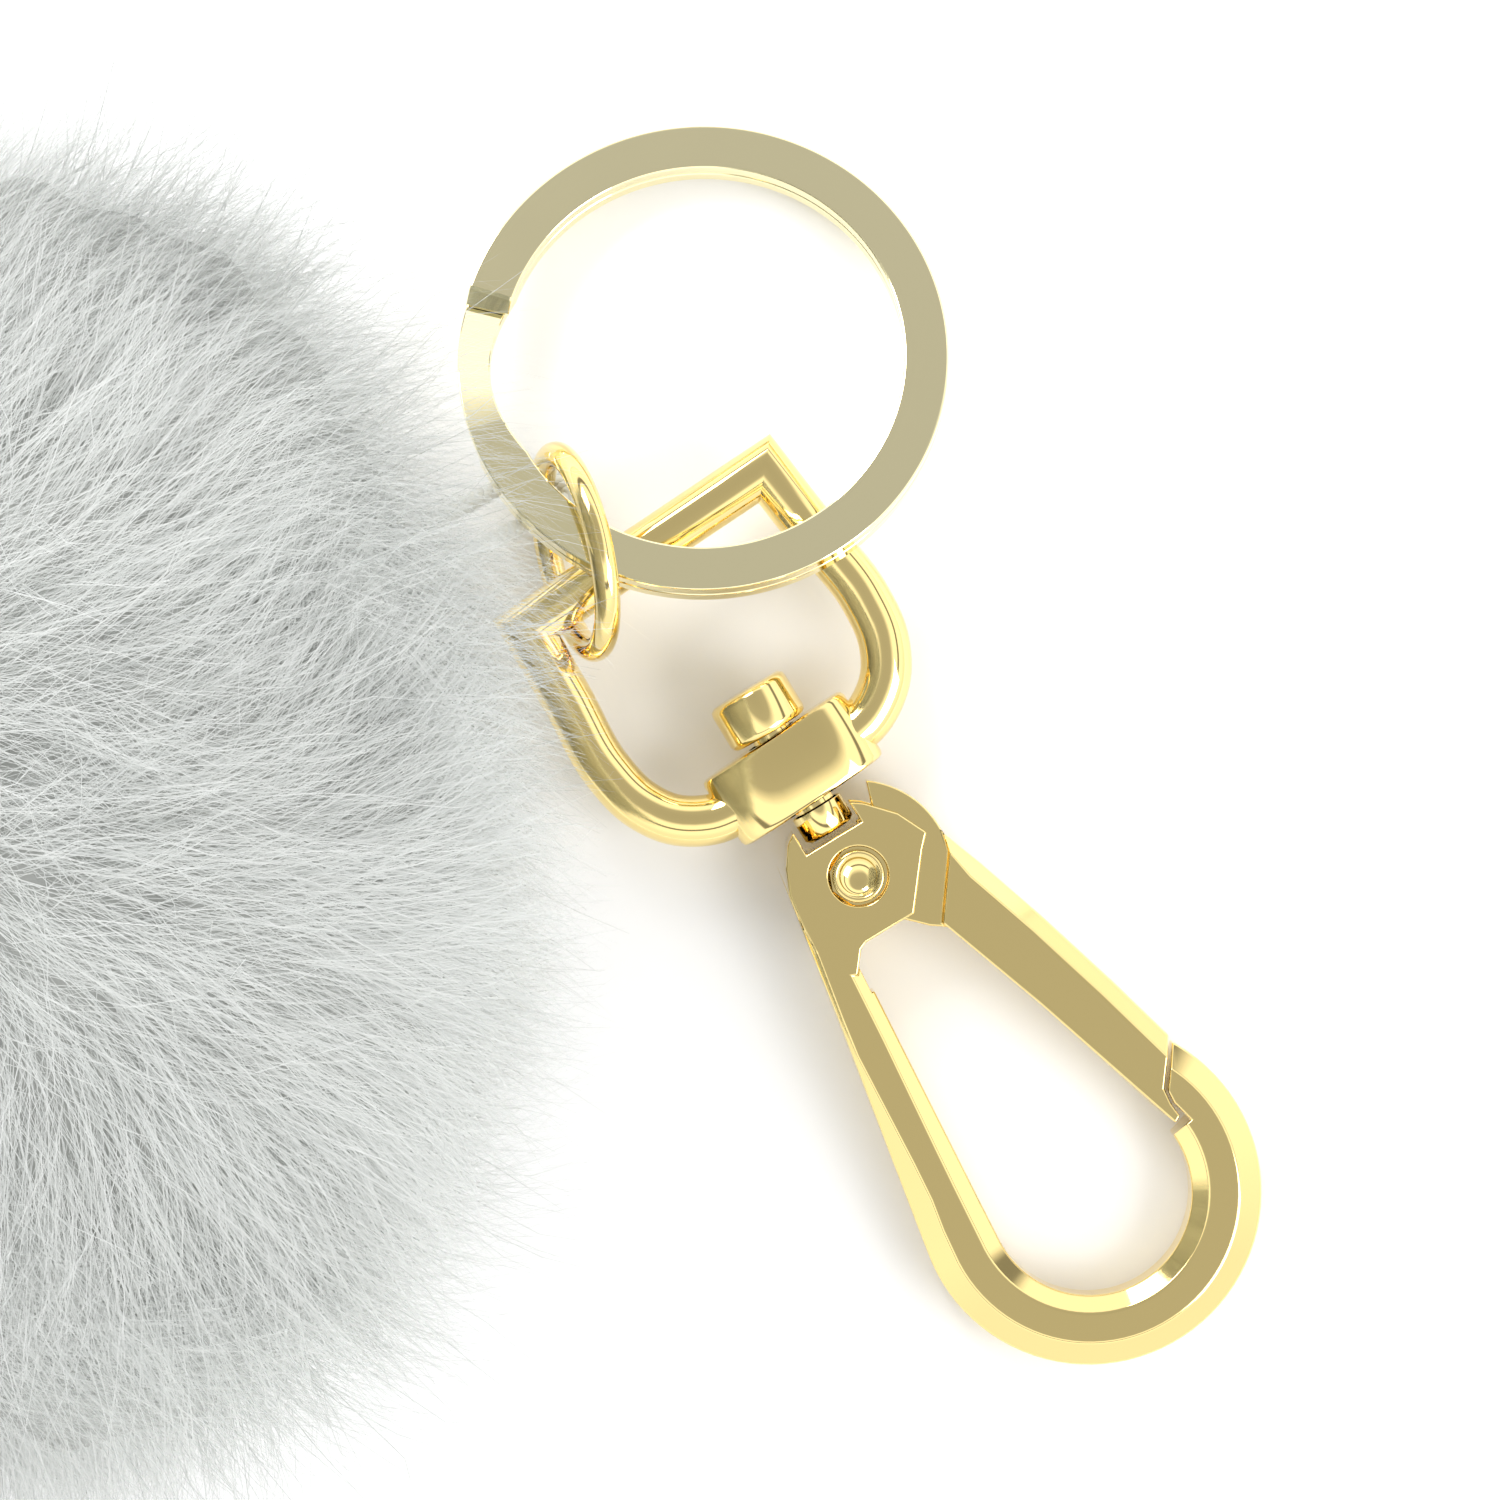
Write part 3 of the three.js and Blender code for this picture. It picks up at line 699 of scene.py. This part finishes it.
def jump_ring_axes():
    """The ring's centre, a level and a rising way in its plane, and its axis."""
    bearing, lean = math.radians(JUMP_FACING), math.radians(JUMP_LEAN)
    across = math.sin(lean)
    facing = Vector((across * math.cos(bearing), across * math.sin(bearing), math.cos(lean)))
    level = Vector((-facing.y, facing.x, 0)).normalized()
    return middle("jump_ring"), level, facing.cross(level), facing


def jump_ring():
    """A closed ring of round wire."""
    turns = np.radians(np.arange(0, 360, 3.0))
    path = [(JUMP_RADIUS * math.cos(t), JUMP_RADIUS * math.sin(t), 0) for t in turns]
    mesh = tube("jump_ring_wire", path, JUMP_WIRE, (0, 0, 1), sides=24, closed=True)
    mesh.transform(axes_at(*jump_ring_axes()))
    smooth(mesh)
    piece("jump_ring_wire", mesh, "ring_link", GOLD, ["jump_ring"])


def cord_loop():
    """A loop of twisted cord from the ball's mouth to the wire it holds, low on the near side."""
    centre, level, rising, _ = jump_ring_axes()
    hold = math.radians(JUMP_HOLD)
    held = centre - JUMP_RADIUS * MM * (math.cos(hold) * level + math.sin(hold) * rising)
    along_wire = math.cos(hold) * rising - math.sin(hold) * level
    away = (held - BALL_CENTRE).normalized()
    across = away.cross(along_wire).normalized()
    loop_frame = axes_at(BALL_CENTRE, away, across, away.cross(across))
    far = (held - BALL_CENTRE).length / MM - 0.1
    half_turn = np.radians(np.arange(-90, 91, 10.0))
    bow = [(LOOP_HALF_WIDTH * math.cos(t), LOOP_HALF_WIDTH * math.sin(t)) for t in half_turn]
    outline = [(far + x, y) for x, y in bow]
    outline += [(x, LOOP_HALF_WIDTH) for x in np.arange(far - 0.5, LOOP_FROM, -0.5)]
    outline += [(LOOP_FROM - x, -y) for x, y in bow]
    outline += [(x, -LOOP_HALF_WIDTH) for x in np.arange(LOOP_FROM + 0.5, far, 0.5)]
    outline = np.array([(x, y, 0) for x, y in outline])
    forward = unit(np.roll(outline, -1, axis=0) - np.roll(outline, 1, axis=0))
    outward = np.cross(forward, (0, 0, 1))
    steps = np.linalg.norm(np.roll(outline, -1, axis=0) - outline, axis=1)
    length = steps.sum()
    twist = 2 * np.pi * round(length / PLY_PITCH) * (np.cumsum(steps) - steps) / length
    for ply in range(PLIES):
        turn = (twist + ply * 2 * np.pi / PLIES)[:, None]
        path = outline + PLY_OFFSET * (outward * np.cos(turn) + np.array([[0, 0, 1]]) * np.sin(turn))
        mesh = tube("cord", path, PLY_WIDTH, (0, 0, 1), sides=8, closed=True)
        mesh.transform(loop_frame)
        smooth(mesh, 60)
        piece(f"hang_loop_ply_{ply + 1}", mesh, "ring_link", CORD, ["hang_loop"])


jump_ring()
cord_loop()

# ------------------------------------------------------------------ table, light and camera

bpy.ops.mesh.primitive_plane_add(size=6)
floor = bpy.context.object
floor.name = "table"
floor.data.materials.append(plain("table", (0.93, 0.93, 0.93), 0.9))

world = bpy.data.worlds.new("studio")
bpy.context.scene.world = world
world.use_nodes = True
sky = world.node_tree
background = sky.nodes["Background"]
place = sky.nodes.new("ShaderNodeTexCoord")
height = sky.nodes.new("ShaderNodeVectorMath")
height.operation = "DOT_PRODUCT"
room_lean = math.radians(15)
height.inputs[1].default_value = (0, math.sin(room_lean), math.cos(room_lean))
ramp = sky.nodes.new("ShaderNodeValToRGB")
sky.links.new(place.outputs["Generated"], height.inputs[0])
sky.links.new(height.outputs["Value"], ramp.inputs["Fac"])
sky.links.new(ramp.outputs["Color"], background.inputs["Color"])
# Brightness of the room by the sine of the height looked at: bright walls, one dark beam, and a
# dim ceiling.
ROOM = [
    (0.0, 1.15), (0.30, 1.4), (0.47, 1.4), (0.51, 0.3), (0.58, 0.3),
    (0.62, 1.4), (0.80, 1.35), (0.89, 0.55), (1.0, 0.5),
]
stops = ramp.color_ramp.elements
while len(stops) < len(ROOM):
    stops.new(0.5)
for stop, (position, level) in zip(stops, ROOM):
    stop.position = position
    stop.color = (level, level, level, 1)


def softbox(name, where, aim, size, power):
    """A rectangular light that faces the point it is aimed at."""
    light = bpy.data.lights.new(name, "AREA")
    light.shape = "RECTANGLE"
    light.size, light.size_y = size
    light.energy = power
    made = bpy.data.objects.new(name, light)
    bpy.context.scene.collection.objects.link(made)
    made.location = where
    made.rotation_euler = (Vector(aim) - Vector(where)).to_track_quat("-Z", "Y").to_euler()


softbox("key", (-0.35, 0.45, 0.5), (0.02, 0, 0), (0.5, 0.3), 4)
softbox("fill", (0.5, -0.25, 0.45), (0.02, 0, 0), (0.4, 0.4), 2.5)

camera = bpy.data.objects.new("camera", bpy.data.cameras.new("camera"))
bpy.context.scene.collection.objects.link(camera)
camera.location = (0.0278, 0.0018, 0.45)
camera.data.sensor_width = 36
camera.data.lens = 172.8
camera.data.clip_start = 0.01
bpy.context.scene.camera = camera
bpy.context.scene.view_settings.view_transform = "Standard"
